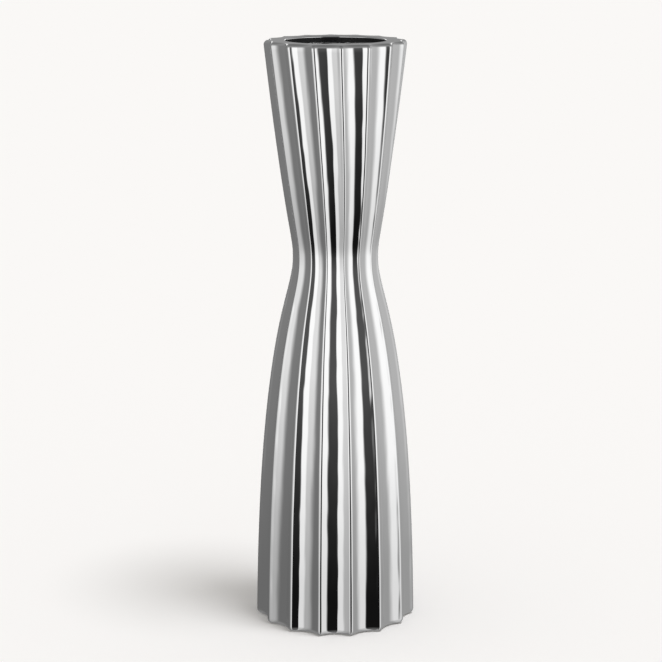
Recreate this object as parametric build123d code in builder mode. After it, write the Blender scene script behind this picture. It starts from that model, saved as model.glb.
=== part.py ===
from build123d import *
import os
from math import atan2, cos, degrees, radians, sin, sqrt

# Fluted candlestick, 400 mm tall: a hollow cast body that narrows to a waist, with sixteen
# flutes from the rounded foot to the rounded rim. A plate let into the rim carries a pillar
# candle. A tie rod, screwed into that plate, passes down through the body and draws an iron
# weight up against a shoulder in the foot. A steel disc faced with felt closes the foot.
# Millimetres, +Z up, origin on the table at the centre of the foot.

os.makedirs("parts", exist_ok=True)

# Side line, measured over the arrises (the ridges between the flutes)
HEIGHT = 400.0
FOOT_RADIUS = 56.1
WAIST_RADIUS = 29.4
WAIST_HEIGHT = 255.5
WAIST_CURVE_RADIUS = 73.0
RIM_WIDTH = 14.1

# Shape of the side line between foot, waist and rim, as shares of each stretch
FOOT_LEAN = 0.123
FOOT_EASE = 0.836
RIM_FLARE = 0.744
RIM_EASE = 0.872

# Flutes, as shares of the radius over the arrises, because they narrow with the body
FLUTES = 16
FLUTE_DEPTH = 0.07
ARRIS_ROUNDING = 0.045

# Slight turn that the flutes take between this level and the rim, in degrees
TWIST_START = 235.0
RIM_TWIST = -7.0

# Rounded edges of the foot and the rim
FOOT_EDGE_HEIGHT = 3.5
FOOT_EDGE_INSET = 2.6
RIM_EDGE_HEIGHT = 3.0
RIM_EDGE_INSET = 2.4

# Casting: thinnest wall, and the steps in which its side and its edges are lofted
WALL = 4.0
BODY_STEPS = 20
EDGE_STEPS = 3

# Recess in the rim and the candle plate at its bottom
RECESS_RADIUS = 34.0
RECESS_DEPTH = 3.0
RECESS_EDGE = 1.0
PLATE_THICKNESS = 3.0
PLATE_GAP = 0.15
BOSS_RADIUS = 11.0
BOSS_LENGTH = 15.0
PLATE_LEDGE_WIDTH = 6.0
PLATE_LEDGE_THICKNESS = 5.0

# Tie rod, M8, with its nut and washers
ROD_RADIUS = 4.0
ROD_CHAMFER = 0.8
THREAD_DEPTH = 12.0
TAPPING_ALLOWANCE = 1.5
ROD_PROUD = 1.5
WASHER_RADIUS = 8.0
WASHER_THICKNESS = 1.6
WASHER_GAP = 0.2
LOCK_RADIUS = 7.3
LOCK_THICKNESS = 2.0
LOCK_SPLIT = 1.6
NUT_ACROSS_FLATS = 13.0
NUT_THICKNESS = 6.5

# Iron weight, its socket for the nut, and the shoulder that it is drawn up against
WEIGHT_THICKNESS = 30.0
WEIGHT_CHAMFER = 1.5
WEIGHT_GAP = 0.3
ROD_HOLE_GAP = 0.5
SOCKET_GAP = 6.0
SHOULDER_WIDTH = 4.0
SHOULDER_THICKNESS = 6.0

# Steel disc and felt that close the foot
FOOT_RING = 3.0
COVER_THICKNESS = 1.5
COVER_GAP = 0.2
COVER_LEDGE_WIDTH = 2.0
FELT_THICKNESS = 2.0
FELT_PROUD = 0.5
FELT_MARGIN = 1.0
ROD_END_ROOM = 2.0

# Levels above the table
cover_level = FELT_THICKNESS
cover_ledge_level = cover_level + COVER_THICKNESS
rod_bottom = cover_ledge_level + ROD_END_ROOM
nut_level = rod_bottom + ROD_PROUD
lock_level = nut_level + NUT_THICKNESS
washer_level = lock_level + LOCK_THICKNESS
socket_level = washer_level + WASHER_THICKNESS
weight_level = cover_ledge_level + WEIGHT_GAP
shoulder_level = weight_level + WEIGHT_THICKNESS
floor_level = HEIGHT - RECESS_DEPTH
plate_level = floor_level - PLATE_THICKNESS
boss_level = plate_level - BOSS_LENGTH
rod_top = boss_level + THREAD_DEPTH
foot_edge_level = FELT_PROUD + FOOT_EDGE_HEIGHT
rim_edge_level = HEIGHT - RIM_EDGE_HEIGHT

# Flute section for a radius of 1 over the arrises. Each flute is a hollow arc whose centre
# lies outside the body, and it runs tangentially into the small round arris on either side.
half_flute = 180 / FLUTES
valley = 1 - FLUTE_DEPTH
crest = 1 - ARRIS_ROUNDING
crest_x = crest * cos(radians(half_flute))
crest_y = crest * sin(radians(half_flute))
hollow = (crest**2 + valley**2 - ARRIS_ROUNDING**2 - 2 * valley * crest_x) / (
    2 * (crest_x + ARRIS_ROUNDING - valley)
)
hollow_x = valley + hollow
tangent_angle = degrees(atan2(crest_y, crest_x - hollow_x))

# Radii that follow from the side line
rim_radius = RECESS_RADIUS + RIM_WIDTH
rebate_radius = valley * (FOOT_RADIUS - FOOT_EDGE_INSET) - FOOT_RING
weight_bore = rebate_radius - COVER_LEDGE_WIDTH


def side_line(share=1.0, inset=0.0):
    """Two Bezier curves, foot to waist and waist to rim, that meet with one curvature.

    X is the radius over the arrises times share, less inset, and Y is the level.
    """
    drop = FOOT_RADIUS - WAIST_RADIUS
    rise = rim_radius - WAIST_RADIUS
    foot_handle = (FOOT_RADIUS - FOOT_LEAN * drop, FOOT_EASE * WAIST_HEIGHT)
    rim_handle = (
        rim_radius - RIM_FLARE * rise,
        HEIGHT - RIM_EASE * (HEIGHT - WAIST_HEIGHT),
    )
    reach_below = sqrt(2 / 3 * (foot_handle[0] - WAIST_RADIUS) * WAIST_CURVE_RADIUS)
    reach_above = sqrt(2 / 3 * (rim_handle[0] - WAIST_RADIUS) * WAIST_CURVE_RADIUS)
    waist = (WAIST_RADIUS, WAIST_HEIGHT)
    below_waist = (WAIST_RADIUS, WAIST_HEIGHT - reach_below)
    above_waist = (WAIST_RADIUS, WAIST_HEIGHT + reach_above)
    lower = [(FOOT_RADIUS, 0), foot_handle, below_waist, waist]
    upper = [waist, above_waist, rim_handle, (rim_radius, HEIGHT)]
    with BuildLine() as line:
        for controls in (lower, upper):
            Bezier(*[(radius * share - inset, level) for radius, level in controls])
    return line.line


outside = side_line()
wall_line = side_line(valley, WALL)


def arris_radius(level):
    """Radius over the arrises at a level, where a level line meets the side line."""
    with BuildLine() as cut:
        IntersectingLine((0, level), (1, 0), outside)
    return (cut.line @ 1).X


def twist(level):
    """Turn of the flutes at a level: none up to its start, then growing gently to the rim."""
    share = max(0.0, (level - TWIST_START) / (HEIGHT - TWIST_START))
    return RIM_TWIST * share**2 * (2 - share)


def fluted_section(level, radius):
    """Cross-section with its flutes, for a radius over the arrises."""
    with BuildSketch(Plane.XY.offset(level)) as section:
        with BuildLine():
            for number in range(FLUTES):
                facing = number * 2 * half_flute - 90 + twist(level)
                flute_centre = Vector(hollow_x * radius, 0).rotate(Axis.Z, facing)
                arris_centre = Vector(crest * radius, 0).rotate(Axis.Z, facing + half_flute)
                CenterArc(
                    flute_centre,
                    hollow * radius,
                    facing + tangent_angle,
                    360 - 2 * tangent_angle,
                )
                CenterArc(
                    arris_centre,
                    ARRIS_ROUNDING * radius,
                    facing + tangent_angle - 180,
                    2 * (half_flute + 180 - tangent_angle),
                )
        make_face()
    return section.sketch


def rounded_edge(start, end, inset):
    """Sections of a quarter-ellipse edge, from the side at start to the flat at end."""
    radius = arris_radius(start)
    sections = []
    for step in range(EDGE_STEPS + 1):
        angle = radians(90 * step / EDGE_STEPS)
        level = start + (end - start) * sin(angle)
        sections.append(fluted_section(level, radius - inset * (1 - cos(angle))))
    return sections


# Body: one hollow casting. Its bore steps in from the rebate for the closing disc to the
# bore for the weight and to the shoulder, then widens into the cavity. At the top a ledge
# carries the candle plate.
cavity_floor = shoulder_level + SHOULDER_THICKNESS
cavity_ceiling = plate_level - PLATE_LEDGE_THICKNESS
body_step = (rim_edge_level - foot_edge_level) / BODY_STEPS
body_levels = [foot_edge_level + body_step * step for step in range(BODY_STEPS + 1)]

bores = [
    (rebate_radius, 0, cover_ledge_level),
    (weight_bore, cover_ledge_level, shoulder_level),
    (weight_bore - SHOULDER_WIDTH, shoulder_level, cavity_floor),
    (RECESS_RADIUS - PLATE_LEDGE_WIDTH, cavity_ceiling, plate_level),
    (RECESS_RADIUS, plate_level, HEIGHT),
]

with BuildPart() as fluted_body:
    loft([fluted_section(level, arris_radius(level)) for level in body_levels])
    loft(rounded_edge(foot_edge_level, FELT_PROUD, FOOT_EDGE_INSET))
    loft(rounded_edge(rim_edge_level, HEIGHT, RIM_EDGE_INSET))
    with BuildSketch(Plane.XZ):
        with BuildLine():
            add(wall_line)
            Polyline(wall_line @ 1, (0, HEIGHT), (0, 0), wall_line @ 0)
        make_face()
        with Locations((0, cavity_floor)):
            Rectangle(
                FOOT_RADIUS,
                cavity_ceiling - cavity_floor,
                align=Align.MIN,
                mode=Mode.INTERSECT,
            )
        for radius, bottom, top in bores:
            with Locations((0, bottom)):
                Rectangle(radius, top - bottom, align=Align.MIN)
    revolve(axis=Axis.Z, mode=Mode.SUBTRACT)
    mouth = fluted_body.edges().filter_by(GeomType.CIRCLE).group_by(Axis.Z)[-1]
    fillet(mouth.sort_by(SortBy.RADIUS)[-1], RECESS_EDGE)
fluted_body.part.label = "fluted_body"
export_step(fluted_body.part, "parts/fluted_body.step")

# Candle plate: a disc on the ledge below the rim. Its top is the floor of the recess, and
# the boss under it is tapped for the tie rod.
with BuildPart() as candle_plate:
    with BuildSketch(Plane.XY.offset(plate_level)):
        Circle(RECESS_RADIUS - PLATE_GAP)
    extrude(amount=PLATE_THICKNESS)
    with BuildSketch(Plane.XY.offset(boss_level)):
        Circle(BOSS_RADIUS)
    extrude(amount=BOSS_LENGTH)
    with BuildSketch(Plane.XY.offset(boss_level)):
        Circle(ROD_RADIUS)
    extrude(amount=THREAD_DEPTH + TAPPING_ALLOWANCE, mode=Mode.SUBTRACT)
candle_plate.part.label = "candle_plate"
export_step(candle_plate.part, "parts/candle_plate.step")

# Tie rod, from the tapped boss down to just below the nut
with BuildPart() as tie_rod:
    with BuildSketch(Plane.XY.offset(rod_bottom)):
        Circle(ROD_RADIUS)
    extrude(amount=rod_top - rod_bottom)
    chamfer(tie_rod.edges().filter_by(GeomType.CIRCLE), ROD_CHAMFER)
tie_rod.part.label = "tie_rod"
export_step(tie_rod.part, "parts/tie_rod.step")

# Iron weight: a turned disc with a hole for the rod, and a socket below for nut and spanner
with BuildPart() as iron_weight:
    with BuildSketch(Plane.XY.offset(weight_level)):
        Circle(weight_bore - WEIGHT_GAP)
    extrude(amount=WEIGHT_THICKNESS)
    chamfer(iron_weight.edges().filter_by(GeomType.CIRCLE), WEIGHT_CHAMFER)
    with BuildSketch(Plane.XY.offset(weight_level)):
        Circle(ROD_RADIUS + ROD_HOLE_GAP)
    extrude(amount=WEIGHT_THICKNESS, mode=Mode.SUBTRACT)
    with BuildSketch(Plane.XY.offset(weight_level)):
        Circle(WASHER_RADIUS + SOCKET_GAP)
    extrude(amount=socket_level - weight_level, mode=Mode.SUBTRACT)
iron_weight.part.label = "iron_weight"
export_step(iron_weight.part, "parts/iron_weight.step")

# Flat washer, against the roof of the socket
with BuildPart() as flat_washer:
    with BuildSketch(Plane.XY.offset(washer_level)):
        Circle(WASHER_RADIUS)
        Circle(ROD_RADIUS + WASHER_GAP, mode=Mode.SUBTRACT)
    extrude(amount=WASHER_THICKNESS)
flat_washer.part.label = "flat_washer"
export_step(flat_washer.part, "parts/flat_washer.step")

# Split lock washer, pressed flat between nut and washer
with BuildPart() as lock_washer:
    with BuildSketch(Plane.XY.offset(lock_level)):
        Circle(LOCK_RADIUS)
        Circle(ROD_RADIUS + WASHER_GAP, mode=Mode.SUBTRACT)
        Rectangle(
            LOCK_RADIUS + LOCK_SPLIT,
            LOCK_SPLIT,
            align=(Align.MIN, Align.CENTER),
            mode=Mode.SUBTRACT,
        )
    extrude(amount=LOCK_THICKNESS)
lock_washer.part.label = "lock_washer"
export_step(lock_washer.part, "parts/lock_washer.step")

# Hexagon nut on the lower end of the rod
with BuildPart() as hex_nut:
    with BuildSketch(Plane.XY.offset(nut_level)):
        RegularPolygon(NUT_ACROSS_FLATS / 2, 6, major_radius=False)
        Circle(ROD_RADIUS, mode=Mode.SUBTRACT)
    extrude(amount=NUT_THICKNESS)
hex_nut.part.label = "hex_nut"
export_step(hex_nut.part, "parts/hex_nut.step")

# Closing disc of sheet steel, bonded into the rebate under the foot
with BuildPart() as base_disc:
    with BuildSketch(Plane.XY.offset(cover_level)):
        Circle(rebate_radius - COVER_GAP)
    extrude(amount=COVER_THICKNESS)
base_disc.part.label = "base_disc"
export_step(base_disc.part, "parts/base_disc.step")

# Felt, glued to the closing disc, on which the candlestick stands
with BuildPart() as felt_disc:
    with BuildSketch():
        Circle(rebate_radius - COVER_GAP - FELT_MARGIN)
    extrude(amount=FELT_THICKNESS)
felt_disc.part.label = "felt_disc"
export_step(felt_disc.part, "parts/felt_disc.step")
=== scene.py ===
from math import atan2, cos, pi, radians, sin

import bmesh
import bpy
import numpy as np
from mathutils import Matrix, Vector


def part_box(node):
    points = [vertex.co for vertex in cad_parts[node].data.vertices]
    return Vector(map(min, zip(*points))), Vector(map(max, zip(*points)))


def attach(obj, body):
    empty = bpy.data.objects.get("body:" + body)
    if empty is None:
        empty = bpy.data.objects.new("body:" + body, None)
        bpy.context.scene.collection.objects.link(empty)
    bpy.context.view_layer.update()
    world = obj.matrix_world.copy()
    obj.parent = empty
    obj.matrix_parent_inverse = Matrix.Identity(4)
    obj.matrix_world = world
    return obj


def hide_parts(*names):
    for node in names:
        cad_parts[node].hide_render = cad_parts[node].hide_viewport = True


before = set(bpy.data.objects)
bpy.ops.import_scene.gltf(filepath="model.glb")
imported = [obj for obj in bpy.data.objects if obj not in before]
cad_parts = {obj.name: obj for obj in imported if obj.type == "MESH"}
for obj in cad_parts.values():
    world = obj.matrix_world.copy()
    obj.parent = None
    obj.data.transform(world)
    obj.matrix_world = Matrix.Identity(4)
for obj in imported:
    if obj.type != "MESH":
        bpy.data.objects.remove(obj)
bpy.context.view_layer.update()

scene = bpy.context.scene


# Camera
# A long lens, a little above the rim and looking down on the foot, level with a person who
# stands before the table. Lengths are in metres here and below, and angles in degrees.
CAMERA_DISTANCE = 1.2771
CAMERA_HEIGHT = 0.5008
CAMERA_LEFT = 0.003
CAMERA_PITCH = 13.186
LENS, SENSOR = 103.88, 36.0  # millimetres, as on a real camera

camera_data = bpy.data.cameras.new("camera")
camera_data.lens = LENS
camera_data.sensor_width = SENSOR
camera = bpy.data.objects.new("camera", camera_data)
camera.location = (-CAMERA_LEFT, -CAMERA_DISTANCE, CAMERA_HEIGHT)
camera.rotation_euler = (radians(90 - CAMERA_PITCH), 0, 0)
scene.collection.objects.link(camera)
scene.camera = camera


# Fluted body
# One hollow casting in aluminium, ground smooth and plated to a silver mirror. Sixteen
# hollow flutes meet in small round arrises, from the rolled foot to the rolled rim.
body_low, body_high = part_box("fluted_body")
plate_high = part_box("candle_plate")[1]
weight_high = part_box("iron_weight")[1]
cover_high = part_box("base_disc")[1]

# The side line runs over the arrises. From foot and rim its curves first head for a point that
# lies in by a lean or a flare and along by an ease, each a share of the way to the waist.
FOOT_LEVEL = body_low.z
RIM_LEVEL = body_high.z
FOOT_RADIUS = 0.0561
WAIST_RADIUS = 0.0294
WAIST_LEVEL = 0.2555
WAIST_CURVE_RADIUS = 0.073
RIM_RADIUS = 0.0481
FOOT_LEAN, FOOT_EASE = 0.123, 0.836
RIM_FLARE, RIM_EASE = 0.744, 0.872

# depth and rounding are shares of the radius over the arrises
FLUTES = 16
FLUTE_DEPTH = 0.07
ARRIS_ROUNDING = 0.045
TWIST_START = 0.235
RIM_TWIST = -7

# the rolled edges of foot and rim, by height and by how far they go in, then the bore
FOOT_EDGE = (0.0035, 0.0026)
RIM_EDGE = (0.003, 0.0024)
RECESS_RADIUS = 0.034
RECESS_EDGE = 0.001
WALL = 0.004
PLATE_THICKNESS = 0.003
LEDGE_WIDTH = 0.006
LEDGE_THICKNESS = 0.005
SHOULDER_THICKNESS = 0.006
SHOULDER_WIDTH = 0.004
REBATE_GAP = 0.0002
WEIGHT_GAP = 0.0003

# how finely the mesh follows all of these, and the angle from which an edge is sharp
CURVE_POINTS = 3000
SIDE_ROWS = 190
EDGE_STEPS = 12
MOUTH_ROWS = 11
CAVITY_ROWS = 30
FLUTE_STEPS = 15
ARRIS_STEPS = 8
SHARP_ANGLE = 40


def bezier(controls):
    """Cubic Bezier curve: its four control points, weighted by Bernstein's polynomials."""
    t = np.linspace(0, 1, CURVE_POINTS)[:, None]
    weights = np.hstack([(1 - t) ** 3, 3 * t * (1 - t) ** 2, 3 * t**2 * (1 - t), t**3])
    return weights @ np.array(controls)


def side_radius(levels):
    """Radius over the arrises: two Bezier curves that meet at the waist with one curvature.

    At the waist a curve has the radius r where its upright handle is as long as the square
    root of 2/3 * h * r, with its next control point h out from the waist.
    """
    waist = (WAIST_RADIUS, WAIST_LEVEL)
    foot_x = FOOT_RADIUS - FOOT_LEAN * (FOOT_RADIUS - WAIST_RADIUS)
    rim_x = RIM_RADIUS - RIM_FLARE * (RIM_RADIUS - WAIST_RADIUS)
    below = (2 / 3 * (foot_x - WAIST_RADIUS) * WAIST_CURVE_RADIUS) ** 0.5
    above = (2 / 3 * (rim_x - WAIST_RADIUS) * WAIST_CURVE_RADIUS) ** 0.5
    foot_handle = (foot_x, FOOT_EASE * WAIST_LEVEL)
    rim_handle = (rim_x, RIM_LEVEL - RIM_EASE * (RIM_LEVEL - WAIST_LEVEL))
    lower = [(FOOT_RADIUS, 0), foot_handle, (WAIST_RADIUS, WAIST_LEVEL - below), waist]
    upper = [waist, (WAIST_RADIUS, WAIST_LEVEL + above), rim_handle, (RIM_RADIUS, RIM_LEVEL)]
    line = np.vstack([bezier(lower), bezier(upper)[1:]])
    return np.interp(levels, line[:, 1], line[:, 0])


def twist(levels):
    """Turn of the flutes: none up to its start, then rim twist * s * s * (2 - s) at share s."""
    share = np.clip((levels - TWIST_START) / (RIM_LEVEL - TWIST_START), 0, None)
    return radians(RIM_TWIST) * share**2 * (2 - share)


def flute_outline():
    """Fluted section of radius 1: hollow arcs run tangentially into small round arrises.

    With valley v, arris rounding a, k = 1 - a and half a flute's angle p, the hollow arc has
    radius (k*k + v*v - a*a - 2*v*k*cos p) / (2*(k*cos p + a - v)).
    """
    half = pi / FLUTES
    valley, crest = 1 - FLUTE_DEPTH, 1 - ARRIS_ROUNDING
    crest_x, crest_y = crest * cos(half), crest * sin(half)
    hollow = crest**2 + valley**2 - ARRIS_ROUNDING**2 - 2 * valley * crest_x
    hollow /= 2 * (crest_x + ARRIS_ROUNDING - valley)
    centre = valley + hollow
    meet = atan2(crest_y, crest_x - centre)
    across = np.linspace(2 * pi - meet, meet, FLUTE_STEPS + 1)[:-1]
    round_arris = np.linspace(meet - pi, 2 * half + pi - meet, ARRIS_STEPS + 1)[:-1]
    flute = np.column_stack([centre + hollow * np.cos(across), hollow * np.sin(across)])
    arris = np.column_stack([np.cos(round_arris), np.sin(round_arris)]) * ARRIS_ROUNDING
    pitch = np.vstack([flute, arris + (crest_x, crest_y)])
    turns = 2 * half * np.arange(FLUTES)[:, None] - pi / 2
    x, y = pitch[:, 0], pitch[:, 1]
    around_x = (x * np.cos(turns) - y * np.sin(turns)).ravel()
    around_y = (x * np.sin(turns) + y * np.cos(turns)).ravel()
    return around_x, around_y


def rolled_edge(radius, start, end, inset):
    """Quarter ellipse from the side at start to the flat at end: radius and level."""
    angle = np.linspace(0, pi / 2, EDGE_STEPS + 1)[1:]
    return radius - inset * (1 - np.cos(angle)), start + (end - start) * np.sin(angle)


def round_surface(name, rows, joined):
    """Mesh of a grid of points [row, around, xyz] that closes on itself round the axis.

    If it is joined, the last row also meets the first, so that it encloses its metal.
    """
    count, around = rows.shape[:2]
    i, j = np.meshgrid(np.arange(count - (not joined)), np.arange(around), indexing="ij")
    here, right = i * around + j, i * around + (j + 1) % around
    over, over_right = (i + 1) % count * around + j, (i + 1) % count * around + (j + 1) % around
    faces = np.stack([here, right, over_right, over], -1).reshape(-1, 4)
    mesh = bpy.data.meshes.new(name)
    mesh.vertices.add(count * around)
    mesh.vertices.foreach_set("co", rows.reshape(-1))
    mesh.loops.add(faces.size)
    mesh.loops.foreach_set("vertex_index", faces.reshape(-1))
    mesh.polygons.add(len(faces))
    mesh.polygons.foreach_set("loop_start", np.arange(0, faces.size, 4))
    mesh.update(calc_edges=True)
    mesh.validate()
    mesh.shade_smooth()
    piece = bpy.data.objects.new(name, mesh)
    scene.collection.objects.link(piece)
    return piece


# rows up the outside are fluted, from the foot's flat to the rim's
side_levels = np.linspace(FOOT_LEVEL + FOOT_EDGE[0], RIM_LEVEL - RIM_EDGE[0], SIDE_ROWS)
side_radii = side_radius(side_levels)
foot_r, foot_z = rolled_edge(side_radii[0], side_levels[0], FOOT_LEVEL, FOOT_EDGE[1])
rim_r, rim_z = rolled_edge(side_radii[-1], side_levels[-1], RIM_LEVEL, RIM_EDGE[1])
fluted_radii = np.concatenate([foot_r[::-1], side_radii, rim_r])
fluted_levels = np.concatenate([foot_z[::-1], side_levels, rim_z])

# rows down the inside are round: mouth, recess, ledge, cavity, shoulder, weight's bore, rebate
mouth_angle = np.linspace(0, pi / 2, MOUTH_ROWS)
mouth_radii = RECESS_RADIUS + RECESS_EDGE * (1 - np.sin(mouth_angle))
mouth_levels = RIM_LEVEL - RECESS_EDGE * (1 - np.cos(mouth_angle))
ceiling = plate_high.z - PLATE_THICKNESS - LEDGE_THICKNESS
ledge_level = ceiling + LEDGE_THICKNESS
cavity_floor = weight_high.z + SHOULDER_THICKNESS
cavity_levels = np.linspace(ceiling, cavity_floor, CAVITY_ROWS)
cavity_radii = side_radius(cavity_levels) * (1 - FLUTE_DEPTH) - WALL
weight_bore = weight_high.x + WEIGHT_GAP
rebate = cover_high.x + REBATE_GAP
round_rows = np.array(
    [
        (RECESS_RADIUS, ledge_level),
        (RECESS_RADIUS - LEDGE_WIDTH, ledge_level),
        (RECESS_RADIUS - LEDGE_WIDTH, ceiling),
        *zip(cavity_radii, cavity_levels),
        (weight_bore - SHOULDER_WIDTH, cavity_floor),
        (weight_bore - SHOULDER_WIDTH, weight_high.z),
        (weight_bore, weight_high.z),
        (weight_bore, cover_high.z),
        (rebate, cover_high.z),
        (rebate, FOOT_LEVEL),
    ]
)
round_radii = np.concatenate([mouth_radii, round_rows[:, 0]])
round_levels = np.concatenate([mouth_levels, round_rows[:, 1]])

unit_x, unit_y = flute_outline()
turn = twist(fluted_levels)[:, None]
fluted = np.stack(
    [
        fluted_radii[:, None] * (unit_x * np.cos(turn) - unit_y * np.sin(turn)),
        fluted_radii[:, None] * (unit_x * np.sin(turn) + unit_y * np.cos(turn)),
        np.broadcast_to(fluted_levels[:, None], (len(fluted_levels), len(unit_x))),
    ],
    -1,
)
turn = np.arctan2(unit_y, unit_x) + twist(round_levels)[:, None]
turned = np.stack(
    [
        round_radii[:, None] * np.cos(turn),
        round_radii[:, None] * np.sin(turn),
        np.broadcast_to(round_levels[:, None], turn.shape),
    ],
    -1,
)
body = round_surface("fluted_column", np.concatenate([fluted, turned]), joined=True)
body.data.set_sharp_from_angle(angle=radians(SHARP_ANGLE))


SILVER_TINT, SILVER_ROUGHNESS = (0.93, 0.93, 0.93), 0.02
RIPPLE_HEIGHT, RIPPLE_WIDTH, RIPPLE_LENGTH = 0.0005, 0.013, 0.065
# near-black coat below the mouth: painted shade on the recess wall
PAINTED_SHADE_TINT, PAINTED_SHADE_ROUGHNESS, PAINTED_SHADE_GLOSS = (0.012, 0.012, 0.013), 0.4, 0.25
PEEL_PER_METRE, PEEL_HEIGHT = 900, 0.00002


def new_finish(name):
    """New material, with its nodes, links and shader and the Object coordinates to place by."""
    material = bpy.data.materials.new(name)
    material.use_nodes = True
    nodes, links = material.node_tree.nodes, material.node_tree.links
    place = nodes.new("ShaderNodeTexCoord").outputs["Object"]
    return material, nodes, links, nodes["Principled BSDF"], place


def noise(nodes, links, place, per_metre, detail=2, tangle=0):
    """Smooth random relief from 0 to 1, with so many waves to the metre."""
    waves = nodes.new("ShaderNodeTexNoise")
    waves.inputs["Scale"].default_value = per_metre
    waves.inputs["Detail"].default_value = detail
    waves.inputs["Distortion"].default_value = tangle
    links.new(place, waves.inputs["Vector"])
    return waves.outputs["Fac"]


def raise_surface(nodes, links, shader, relief, height):
    """Bump: the surface stands up by the relief, from 0 to 1, times the height."""
    bump = nodes.new("ShaderNodeBump")
    bump.inputs["Distance"].default_value = height
    links.new(relief, bump.inputs["Height"])
    links.new(bump.outputs["Normal"], shader.inputs["Normal"])


def silver_plate(name):
    """Bright plating: a mirror with the faint long waves that polishing by hand leaves."""
    material, nodes, links, shader, place = new_finish(name)
    shader.inputs["Base Color"].default_value = (*SILVER_TINT, 1)
    shader.inputs["Metallic"].default_value = 1
    shader.inputs["Roughness"].default_value = SILVER_ROUGHNESS
    stretch = nodes.new("ShaderNodeMapping")
    stretch.inputs["Scale"].default_value = (1, 1, RIPPLE_WIDTH / RIPPLE_LENGTH)
    links.new(place, stretch.inputs["Vector"])
    ripple = noise(nodes, links, stretch.outputs["Vector"], 1 / RIPPLE_WIDTH)
    raise_surface(nodes, links, shader, ripple, RIPPLE_HEIGHT)
    return material


def painted_shade_coat(name):
    """Near-black, half matt coat with a little orange-peel relief, which paints the recess wall
    with painted shade.
    """
    material, nodes, links, shader, place = new_finish(name)
    shader.inputs["Base Color"].default_value = (*PAINTED_SHADE_TINT, 1)
    shader.inputs["Roughness"].default_value = PAINTED_SHADE_ROUGHNESS
    shader.inputs["Specular IOR Level"].default_value = PAINTED_SHADE_GLOSS
    peel = noise(nodes, links, place, PEEL_PER_METRE)
    raise_surface(nodes, links, shader, peel, PEEL_HEIGHT)
    return material


# the plating covers the outside and the rounded mouth; below the mouth a near-black coat paints
# the recess wall with painted shade and runs on over the hidden inside
plating = silver_plate("silver_plate")
body.data.materials.append(plating)
body.data.materials.append(painted_shade_coat("painted_shade_inside"))
painted_shade_rows = np.zeros((len(fluted) + len(turned), len(unit_x)), dtype=np.int32)
painted_shade_rows[len(fluted) + len(mouth_radii) - 1 : -1] = 1
body.data.polygons.foreach_set("material_index", painted_shade_rows.ravel())
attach(body, "root")
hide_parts("fluted_body")


# Candle plate
# A turned disc on the ledge below the rim, plated with the body: its bright top is the floor
# of the recess. The boss under it is tapped for the tie rod.
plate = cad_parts["candle_plate"]
plate.data.materials.clear()
plate.data.materials.append(plating)


# Tie rod, washers and nut
# Stock M8 fasteners in steel with bright zinc plating. The nut on the rod draws the weight up
# and so clamps weight, body and candle plate together.
ZINC_DARKEST, ZINC_LIGHTEST = 0.82, 1
ZINC_TINT, ZINC_CRYSTALS_PER_METRE = (0.62, 0.63, 0.65), 900
ZINC_ROUGHNESS, ZINC_ROUGHNESS_SPREAD = 0.32, 0.06
GRIT_PER_METRE, GRIT_HEIGHT = 2500, 0.00001


def shade(nodes, links, shader, pattern, tint, darkest, lightest, start=0, end=1):
    """Colour: the tint times darkest to times lightest, as the pattern goes from start to end."""
    shades = nodes.new("ShaderNodeValToRGB")
    low, high = shades.color_ramp.elements
    low.position, high.position = start, end
    low.color = (*[darkest * part for part in tint], 1)
    high.color = (*[lightest * part for part in tint], 1)
    links.new(pattern, shades.inputs["Fac"])
    links.new(shades.outputs["Color"], shader.inputs["Base Color"])


def zinc_plate(name):
    """Zinc plating: cloudy crystals turn its grey lighter and darker, and fine grit dulls it."""
    material, nodes, links, shader, place = new_finish(name)
    shader.inputs["Metallic"].default_value = 1
    crystals = nodes.new("ShaderNodeTexVoronoi")
    crystals.inputs["Scale"].default_value = ZINC_CRYSTALS_PER_METRE
    links.new(place, crystals.inputs["Vector"])
    cloud = crystals.outputs["Color"]
    shade(nodes, links, shader, cloud, ZINC_TINT, ZINC_DARKEST, ZINC_LIGHTEST)
    grit = noise(nodes, links, place, GRIT_PER_METRE)
    dullness = nodes.new("ShaderNodeMapRange")
    dullness.inputs["To Min"].default_value = ZINC_ROUGHNESS - ZINC_ROUGHNESS_SPREAD
    dullness.inputs["To Max"].default_value = ZINC_ROUGHNESS + ZINC_ROUGHNESS_SPREAD
    links.new(grit, dullness.inputs["Value"])
    links.new(dullness.outputs["Result"], shader.inputs["Roughness"])
    raise_surface(nodes, links, shader, grit, GRIT_HEIGHT)
    return material


zinc = zinc_plate("zinc_steel")
for fastener in ("tie_rod", "flat_washer", "lock_washer", "hex_nut"):
    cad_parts[fastener].data.materials.clear()
    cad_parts[fastener].data.materials.append(zinc)


# Iron weight
# A turned disc of grey iron that keeps the tall holder upright. The nut holds it up against
# the shoulder in the foot.
IRON_TINT, IRON_ROUGHNESS = (0.16, 0.16, 0.17), 0.55
IRON_DARKEST, IRON_LIGHTEST = 0.6, 1.3
GRAIN_PER_METRE, GRAIN_DETAIL = 700, 6
LATHE_RING_SCALE, LATHE_RING_HEIGHT = 900, 0.00003


def grey_iron(name):
    """Turned cast iron: a grainy dark grey with fine rings from the lathe."""
    material, nodes, links, shader, place = new_finish(name)
    shader.inputs["Metallic"].default_value = 1
    shader.inputs["Roughness"].default_value = IRON_ROUGHNESS
    grain = noise(nodes, links, place, GRAIN_PER_METRE, GRAIN_DETAIL)
    shade(nodes, links, shader, grain, IRON_TINT, IRON_DARKEST, IRON_LIGHTEST)
    rings = nodes.new("ShaderNodeTexWave")
    rings.wave_type = "RINGS"
    rings.rings_direction = "Z"
    rings.inputs["Scale"].default_value = LATHE_RING_SCALE
    links.new(place, rings.inputs["Vector"])
    raise_surface(nodes, links, shader, rings.outputs["Fac"], LATHE_RING_HEIGHT)
    return material


iron = grey_iron("grey_iron")
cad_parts["iron_weight"].data.materials.clear()
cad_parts["iron_weight"].data.materials.append(iron)


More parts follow.
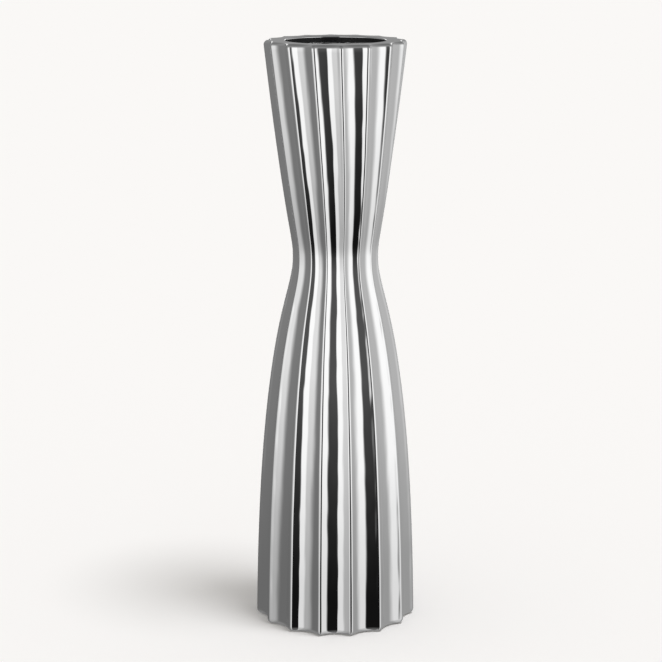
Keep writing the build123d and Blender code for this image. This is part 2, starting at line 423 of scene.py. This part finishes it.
# Closing disc
# A round blank of zinc-plated sheet steel, bonded into the rebate under the foot. It hides
# the weight and the nut.
closing_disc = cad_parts["base_disc"]
closing_disc.data.materials.clear()
closing_disc.data.materials.append(zinc)


# Felt pad
# A disc of black wool felt, punched out and glued under the steel disc. The holder stands on
# it, half a millimetre clear of the table.
felt_low, felt_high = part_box("felt_disc")
FELT_RADIUS = felt_high.x
FELT_THICKNESS = felt_high.z - felt_low.z
FELT_EDGE = 0.0006
FELT_WANDER = 0.00012
FELT_FLAT_ROWS, FELT_CORNER_ROWS, FELT_POINTS_AROUND = 8, 6, 240
FELT_MERGE = 1e-7
FELT_TINT, FELT_ROUGHNESS, FELT_GLOSS = (0.018, 0.018, 0.02), 0.95, 0.15
FELT_SHEEN, FELT_SHEEN_ROUGHNESS = 0.35, 0.5
FIBRES_PER_METRE, FIBRE_DETAIL, FIBRE_TANGLE, FIBRE_HEIGHT = 1400, 8, 1.5, 0.0001
FIBRE_DARKEST, FIBRE_LIGHTEST, FIBRE_START, FIBRE_END = 0.5, 1.6, 0.3, 0.7


def felt_pad(name):
    """Felt disc whose corners are soft and whose cut edge wanders a little.

    At bearing b the edge stands back by wander * (1 + sin(5 b) * cos(3 b + 1)) / 2.
    """
    corner = np.linspace(0, pi / 2, FELT_CORNER_ROWS)
    shares = np.linspace(0, 1, FELT_FLAT_ROWS, endpoint=False)
    flat = FELT_RADIUS - FELT_EDGE
    low_r, low_z = flat + FELT_EDGE * np.sin(corner), FELT_EDGE * (1 - np.cos(corner))
    radii = np.concatenate([shares * flat, low_r, low_r[::-1], (shares * flat)[::-1]])
    levels = np.concatenate([0 * shares, low_z, FELT_THICKNESS - low_z[::-1]])
    levels = np.concatenate([levels, 0 * shares + FELT_THICKNESS])[:, None]
    around = np.linspace(0, 2 * pi, FELT_POINTS_AROUND, endpoint=False)
    wander = FELT_WANDER * (1 + np.sin(5 * around) * np.cos(3 * around + 1)) / 2
    reach = radii[:, None] * (1 - wander / FELT_RADIUS)
    rows = np.stack([reach * np.cos(around), reach * np.sin(around), levels + 0 * around], -1)
    pad = round_surface(name, rows + (0, 0, felt_low.z), joined=False)
    closed = bmesh.new()
    closed.from_mesh(pad.data)
    bmesh.ops.remove_doubles(closed, verts=closed.verts, dist=FELT_MERGE)
    closed.to_mesh(pad.data)
    closed.free()
    return pad


def wool_felt(name):
    """Pressed wool: matted fibres in slightly different blacks, matt and with a soft sheen."""
    material, nodes, links, shader, place = new_finish(name)
    shader.inputs["Roughness"].default_value = FELT_ROUGHNESS
    shader.inputs["Specular IOR Level"].default_value = FELT_GLOSS
    shader.inputs["Sheen Weight"].default_value = FELT_SHEEN
    shader.inputs["Sheen Roughness"].default_value = FELT_SHEEN_ROUGHNESS
    fibres = noise(nodes, links, place, FIBRES_PER_METRE, FIBRE_DETAIL, FIBRE_TANGLE)
    blacks = (FIBRE_DARKEST, FIBRE_LIGHTEST, FIBRE_START, FIBRE_END)
    shade(nodes, links, shader, fibres, FELT_TINT, *blacks)
    raise_surface(nodes, links, shader, fibres, FIBRE_HEIGHT)
    return material


felt = felt_pad("felt_pad")
felt.data.materials.append(wool_felt("felt"))
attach(felt, "root")
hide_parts("felt_disc")


# Floor and lamps
# White paper runs under the holder and away behind it. One broad lamp stands high on the
# right, in front, and the white room gives the rest of the light.
PAPER = (0.956, 0.939, 0.922)
PAPER_REACH = 30
ROOM_LIGHT, ROOM_TINT = 0.6, (1, 0.99, 0.97)
LAMP_LIGHT = 0.4
LAMP_SLANT, LAMP_BEARING, LAMP_SIZE = 16, 65, 18

sides = ((-1, -1), (1, -1), (1, 1), (-1, 1))
corners = [(PAPER_REACH * x, PAPER_REACH * y, 0) for x, y in sides]
floor_mesh = bpy.data.meshes.new("floor")
floor_mesh.from_pydata(corners, [], [(0, 1, 2, 3)])
floor = bpy.data.objects.new("floor", floor_mesh)
scene.collection.objects.link(floor)
paper = bpy.data.materials.new("paper")
paper.use_nodes = True
paper_shader = paper.node_tree.nodes["Principled BSDF"]
paper_shader.inputs["Base Color"].default_value = (*PAPER, 1)
paper_shader.inputs["Roughness"].default_value = 1
paper_shader.inputs["Specular IOR Level"].default_value = 0
floor_mesh.materials.append(paper)
floor.visible_glossy = False

# a sun of strength pi, straight above, lights white paper to 1; room and lamp add up to white
lamp_data = bpy.data.lights.new("lamp", "SUN")
lamp_data.energy = LAMP_LIGHT * pi / cos(radians(LAMP_SLANT))
lamp_data.angle = radians(LAMP_SIZE)
lamp_data.color = [(1 - ROOM_LIGHT * part) / LAMP_LIGHT for part in ROOM_TINT]
lamp = bpy.data.objects.new("lamp", lamp_data)
lamp.rotation_euler = (radians(LAMP_SLANT), 0, radians(LAMP_BEARING))
lamp.visible_glossy = False
scene.collection.objects.link(lamp)

# the eye, metal and glass see paper all round; all that is matt gets the room's own light
room = bpy.data.worlds.new("room")
room.use_nodes = True
nodes, links = room.node_tree.nodes, room.node_tree.links
light = nodes["Background"]
light.inputs["Color"].default_value = (*ROOM_TINT, 1)
light.inputs["Strength"].default_value = ROOM_LIGHT
backdrop = nodes.new("ShaderNodeBackground")
backdrop.inputs["Color"].default_value = (*PAPER, 1)
path = nodes.new("ShaderNodeLightPath")
seen = nodes.new("ShaderNodeMath")
seen.operation = "MAXIMUM"
seen_too = nodes.new("ShaderNodeMath")
seen_too.operation = "MAXIMUM"
choose = nodes.new("ShaderNodeMixShader")
links.new(path.outputs["Is Camera Ray"], seen.inputs[0])
links.new(path.outputs["Is Glossy Ray"], seen.inputs[1])
links.new(seen.outputs["Value"], seen_too.inputs[0])
links.new(path.outputs["Is Transmission Ray"], seen_too.inputs[1])
links.new(seen_too.outputs["Value"], choose.inputs["Fac"])
links.new(light.outputs["Background"], choose.inputs[1])
links.new(backdrop.outputs["Background"], choose.inputs[2])
links.new(choose.outputs["Shader"], nodes["World Output"].inputs["Surface"])
scene.world = room
scene.view_settings.view_transform = "Standard"


# Light tent
# A round tent of grey cloth, which only the silver sees. Its white panels hang on both sides
# of the black opening in which the camera stands, and two white strips hang behind. It closes
# under the holder too, as the silver doesn't see the paper.
TENT_RADIUS = 1.5
TENT_CENTRE = 0.2
TENT_POINTS_AROUND, TENT_ROWS, TENT_POLE = 720, 150, 89.5
# How light the cloths look, with 0 for black and 1 for white, low down, at half height and
# level with the holder. The grey on the left comes first. Each of the others fades in between
# two bearings, counted from the camera to the right: pale grey, left panel, opening, right
# panel, and the grey on the right.
LOW_GREY, MIDDLE_GREY, LEVEL_GREY = 0.42, 0.47, 0.49
CLOTHS_LOW = [
    ((-80, -48), 0.68),
    ((-41, -29), 0.88),
    ((-12, -9), 0.1),
    ((32, 42), 0.88),
    ((60, 92), 0.6),
]
CLOTHS_MIDDLE = [
    ((-88, -55), 0.82),
    ((-40, -30), 1),
    ((-12, -5), 0.23),
    ((27, 39), 1),
    ((58, 92), 0.7),
]
CLOTHS_LEVEL = [
    ((-88, -55), 0.9),
    ((-39, -33), 1.02),
    ((-12, -5), 0.32),
    ((27, 39), 1.02),
    ((58, 92), 0.72),
]
# Behind, on both sides, a dark gap and a white strip, which end low down. Between the strips
# the tent is grey, with a dark opening at half height.
STRIPS_BEHIND = [((142, 145), 0.25), ((150, 153), 1)]
GREY_BEHIND, DARK_BEHIND = [((167, 170), 0.57)], [((167, 170), 0.12)]
# the heights of the three above, as angles over the tent's middle, then the plain greys of the
# eaves, the roof and the ground, on which a share of the low cloths' contrast still shows
TENT_LOW, TENT_MIDDLE, TENT_LEVEL = (-30, -24), -12, (0, 18)
TENT_EAVES, TENT_ROOF = (38, 0.54), (70, 0.43)
TENT_GROUND, GROUND_GREY, GROUND_CONTRAST = (-78, -50), 0.6, 0.5
# the power that turns how light a cloth looks into how much light it gives
LIGHT_POWER = 2.2


def hang_cloths(looks, bearings, cloths):
    """Light round the tent: with t across its edge, a cloth comes in by 3 t^2 - 2 t^3."""
    for (start, end), light in cloths:
        t = np.clip((bearings - start) / (end - start), 0, 1)
        looks = looks + (light - looks) * t * t * (3 - 2 * t)
    return looks


bearings = np.linspace(-180, 180, TENT_POINTS_AROUND, endpoint=False)
heights = np.linspace(-TENT_POLE, TENT_POLE, TENT_ROWS)
low, middle, level = (
    hang_cloths(hang_cloths(grey, bearings, cloths), abs(bearings), behind)
    for grey, cloths, behind in (
        (LOW_GREY, CLOTHS_LOW, GREY_BEHIND),
        (MIDDLE_GREY, CLOTHS_MIDDLE, STRIPS_BEHIND + DARK_BEHIND),
        (LEVEL_GREY, CLOTHS_LEVEL, STRIPS_BEHIND + GREY_BEHIND),
    )
)
ground = GROUND_GREY + GROUND_CONTRAST * (low - GROUND_GREY)
plain = np.ones_like(level)
stops = [-90, *TENT_GROUND, *TENT_LOW, TENT_MIDDLE, *TENT_LEVEL, TENT_EAVES[0], TENT_ROOF[0], 90]
by_stop = np.stack(
    [
        plain * GROUND_GREY,
        ground,
        ground,
        low,
        low,
        middle,
        level,
        level,
        plain * TENT_EAVES[1],
        plain * TENT_ROOF[1],
        plain * TENT_ROOF[1],
    ]
)
# each row of the tent mixes the two stops that it lies between
between = np.interp(heights, stops, range(len(stops)))
under = np.minimum(between.astype(int), len(stops) - 2)
rest = (between - under)[:, None]
paint = ((1 - rest) * by_stop[under] + rest * by_stop[under + 1]) ** LIGHT_POWER
turn, rise = np.radians(bearings)[None, :], np.radians(heights)[:, None]
tent_rows = TENT_RADIUS * np.stack(
    [
        np.cos(rise) * np.sin(turn),
        -np.cos(rise) * np.cos(turn),
        np.sin(rise) + 0 * turn + TENT_CENTRE / TENT_RADIUS,
    ],
    -1,
)
tent = round_surface("light_tent", tent_rows, joined=False)
cloth = tent.data.color_attributes.new("cloth", "FLOAT_COLOR", "POINT")
cloth.data.foreach_set("color", np.stack([paint, paint, paint, np.ones_like(paint)], -1).ravel())
glow = bpy.data.materials.new("tent_cloth")
glow.use_nodes = True
nodes, links = glow.node_tree.nodes, glow.node_tree.links
nodes.remove(nodes["Principled BSDF"])
emission = nodes.new("ShaderNodeEmission")
painted = nodes.new("ShaderNodeAttribute")
painted.attribute_name = "cloth"
links.new(painted.outputs["Color"], emission.inputs["Color"])
links.new(emission.outputs["Emission"], nodes["Material Output"].inputs["Surface"])
tent.data.materials.append(glow)
tent.visible_camera = False
tent.visible_diffuse = False
tent.visible_transmission = False
tent.visible_shadow = False
